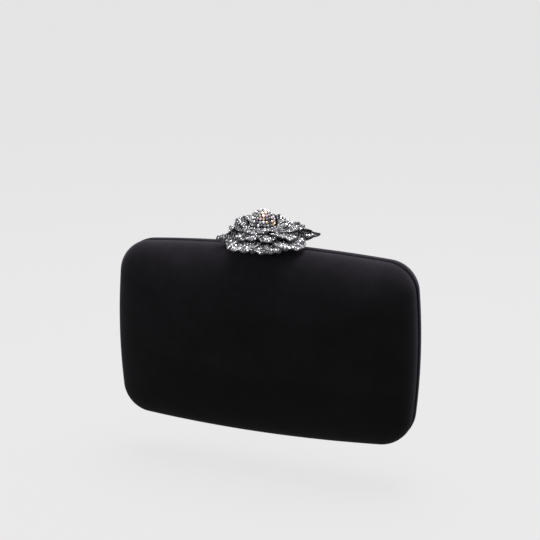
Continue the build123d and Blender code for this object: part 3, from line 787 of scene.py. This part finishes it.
OUTER_CENTRE = (FLOWER_X + 1.0, 0.4)
outer = [
    Petal(-2, 30.6, 10.5, 6, (120.7, 121.2, 122.0), tip=0.95, ruffle=0.5, seed=0.4, centre=OUTER_CENTRE,
          lean=2.8),
    Petal(-42, 28.4, 11.5, 6, (120.9, 120.2, 117.4),
          ruffle=0.9, waves=2.6, seed=1.2, centre=OUTER_CENTRE, cup=0.6),
    Petal(-86, 27.4, 11.5, 6, (120.7, 119.8, 116.9), ruffle=1.0, waves=3.2, seed=2.9, centre=OUTER_CENTRE),
    Petal(-131, 27.6, 11.5, 6, (120.9, 120.0, 117.0),
          ruffle=1.0, waves=2.8, seed=4.1, centre=OUTER_CENTRE, cup=0.5),
    Petal(180, 26.6, 10.0, 6, (120.7, 120.6, 119.6), tip=0.9, ruffle=0.6, seed=5.0, centre=OUTER_CENTRE,
          lean=-2.4),
    Petal(136, 25.0, 11.0, 6, (120.9, 121.2, 120.8), ruffle=0.9, seed=0.9, centre=OUTER_CENTRE),
    Petal(88, 25.0, 11.5, 6, (120.7, 121.0, 120.4), ruffle=0.9, seed=2.2, centre=OUTER_CENTRE),
    Petal(42, 27.5, 11.5, 6, (120.9, 121.4, 121.6), ruffle=0.9, seed=3.3, centre=OUTER_CENTRE),
]
second = [
    Petal(8, 24.0, 10.0, 4, (124.0, 124.6, 125.8), ruffle=0.9, seed=0.2, centre=OUTER_CENTRE, cup=0.8),
    Petal(-38, 22.0, 9.5, 4, (124.5, 124.2, 121.8),
          ruffle=0.9, waves=2.4, seed=1.9, centre=OUTER_CENTRE, cup=1.2),
    Petal(-84, 20.4, 7.2, 4, (124.5, 124.2, 121.8),
          ruffle=0.6, waves=2.2, seed=2.6, centre=OUTER_CENTRE, cup=1.4),
    Petal(-132, 20.5, 9.5, 4, (124.5, 124.2, 121.8),
          ruffle=0.9, waves=2.6, seed=3.4, centre=OUTER_CENTRE, cup=1.2),
    Petal(176, 20.4, 9.0, 4, (124.0, 124.4, 125.6), ruffle=0.8, seed=4.4, centre=OUTER_CENTRE, cup=0.8),
    Petal(128, 20.5, 10.0, 4, (123.5, 124.6, 128.4), ruffle=0.8, seed=5.2, centre=OUTER_CENTRE),
    Petal(78, 22.0, 10.5, 4, (123.5, 124.6, 128.4), ruffle=0.9, seed=0.7, centre=OUTER_CENTRE),
]
third = [
    Petal(20, 17.0, 8.5, 3, (125.5, 126.6, 128.6), ruffle=0.7, seed=1.1, cup=0.6),
    Petal(-40, 14.6, 7.6, 3, (126.2, 126.6, 124.8), ruffle=0.6, waves=2.4, seed=2.1, cup=0.9),
    Petal(-112, 15.0, 8.4, 3, (126.2, 126.6, 124.8), ruffle=0.6, waves=2.2, seed=3.7, cup=0.9),
    Petal(170, 14.4, 7.6, 3, (125.5, 126.4, 128.0), ruffle=0.6, seed=4.8, cup=0.6),
    Petal(118, 15.4, 8.0, 3, (125.0, 126.5, 130.2), ruffle=0.6, seed=5.6),
    Petal(66, 17.4, 9.0, 3, (125.0, 126.5, 130.2), ruffle=0.7, seed=0.3),
]
layer("outer_petals", "outer_petals", outer, u_from=0.36)
layer("second_petals", "second_petals", second, u_from=0.34)
layer("third_petals", "third_petals", third, u_from=0.34)

bud = [
    Petal(34, 9.6, 4.6, 3, (125.6, 125.0, 131.8), ruffle=0.25, waves=1.5, seed=0.5, cup=-1.2),
    Petal(175, 9.8, 5.4, 3, (125.6, 124.6, 130.0), ruffle=0.25, waves=1.5, seed=3.5, cup=-1.0),
    Petal(105, 10.2, 6.2, 3, (125.6, 125.0, 132.0), ruffle=0.25, waves=1.5, seed=4.5, cup=-1.4),
]
cup = make_object("bud_petals_metal", *join_parts([petal_body(p, 20, 14, 0.6) for p in bud]))
paint(cup, gunmetal)
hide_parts("bud_petals")
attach(cup, "clasp")


BUD_RINGS = ((0, 1), (16, 6), (32, 12), (48, 17), (64, 21), (80, 23), (96, 23), (112, 21))  # degrees, stones
IRIDESCENT_FROM = VIEW_TURN - 52  # degrees from +X of the side where the coated stones gather


def bud_crystals():
    """Close-set stones over the dome; those low on the right and the front have an iridescent coat."""
    stones = []
    centre = Vector((FLOWER_X, 0, BUD_Z))
    side = math.radians(IRIDESCENT_FROM)
    glow = Vector((math.cos(side), math.sin(side), 0.15)).normalized()
    for degrees, count in BUD_RINGS:
        for k in range(count):
            turn = math.radians(360 * (k + 0.37 * (degrees % 5)) / count)
            polar = math.radians(degrees)
            flat = math.sin(polar)
            normal = Vector((flat * math.cos(turn), flat * math.sin(turn), math.cos(polar)))
            likely = min(0.55, max(0.0, normal.dot(glow) * 1.1 - 0.3))
            if stone_draw.random() < likely:
                kind = 3 + stone_draw.choices((0, 1, 2, 3), (0.34, 0.28, 0.2, 0.18))[0]
            else:
                kind = stone_draw.choices((0, 1, 2), (0.62, 0.25, 0.13))[0]
            place = centre + normal * (BUD_RADIUS - 0.05)
            stones.append((*stone(place, tilted(normal, 0.1), 0.92, stone_draw.uniform(0, 1)), kind))
    made = stones_object("bud_crystals", stones, CLEAR + IRIDESCENT)
    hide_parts("bud_stones")


bud_crystals()

# ---------------------------------------------------------------- finishes of the CAD pieces that stay
PLATED = ("clasp_base", "clasp_strike", "clasp_lever")
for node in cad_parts.values():
    name = node.name
    if "hinge_leaf" in name or name.endswith("_frame") or name in PLATED:
        paint(node, rim_metal)
    elif "foam" in name:
        paint(node, foam)
    elif "moulded" in name:
        paint(node, board)
    elif name in ("bud_dome", "flower_base_plate"):
        paint(node, gunmetal)
    elif any(word in name for word in ("pin", "rivet", "screw", "spring", "flower_nut", "flower_stud")):
        paint(node, steel)

# ---------------------------------------------------------------- stage, light and camera
floor_mesh = bpy.data.meshes.new("floor")
FLOOR_HALF = 6.0
FLOOR_Z = -0.025  # under the lowest point of the opened front half, which swings below the resting edge
floor_corners = [(x * FLOOR_HALF, y * FLOOR_HALF, FLOOR_Z) for x, y in ((-1, -1), (1, -1), (1, 1), (-1, 1))]
floor_mesh.from_pydata(floor_corners, [], [(0, 1, 2, 3)])
floor = bpy.data.objects.new("floor", floor_mesh)
bpy.context.scene.collection.objects.link(floor)
floor_material, _, floor_shader, _ = new_material("pale_floor", (0.05, 0.05, 0.05), 0.9)
floor_shader.inputs["Emission Color"].default_value = (0.74, 0.74, 0.74, 1)
floor_shader.inputs["Emission Strength"].default_value = 1.0
floor_shader.inputs["Specular IOR Level"].default_value = 0.0
paint(floor, floor_material)

world = bpy.data.worlds.new("studio")
bpy.context.scene.world = world
world.use_nodes = True
world.node_tree.nodes["Background"].inputs["Color"].default_value = (0.80, 0.80, 0.80, 1)
world.node_tree.nodes["Background"].inputs["Strength"].default_value = 1.0
bpy.context.scene.view_settings.view_transform = "Standard"


def area_light(name, place, target, size, power):
    """A soft square light at place, in metres, aimed at target."""
    data = bpy.data.lights.new(name, "AREA")
    data.shape, data.size, data.energy = "SQUARE", size, power
    made = bpy.data.objects.new(name, data)
    made.location = place
    made.rotation_euler = (Vector(target) - Vector(place)).to_track_quat("-Z", "Y").to_euler()
    bpy.context.scene.collection.objects.link(made)


area_light("top_soft", (0.05, 0.12, 0.9), (0, 0, 0.08), 0.6, 9.0)


def direction(azimuth, elevation):
    """The unit vector from the object towards a camera at these angles in degrees; azimuth 0 is in front."""
    a, e = math.radians(azimuth), math.radians(elevation)
    return Vector((math.sin(a) * math.cos(e), -math.cos(a) * math.cos(e), math.sin(e)))


camera_data = bpy.data.cameras.new("camera")
camera_data.sensor_width = 36.0
camera_data.lens = 1316.6 / 540 * 36.0
camera = bpy.data.objects.new("camera", camera_data)
camera.location = Vector((0, 0, MIDDLE_Z * MM)) + direction(21.71, 17.61) * 0.79426
camera.rotation_euler = (-direction(21.51, 14.64)).to_track_quat("-Z", "Y").to_euler()
bpy.context.scene.collection.objects.link(camera)
bpy.context.scene.camera = camera
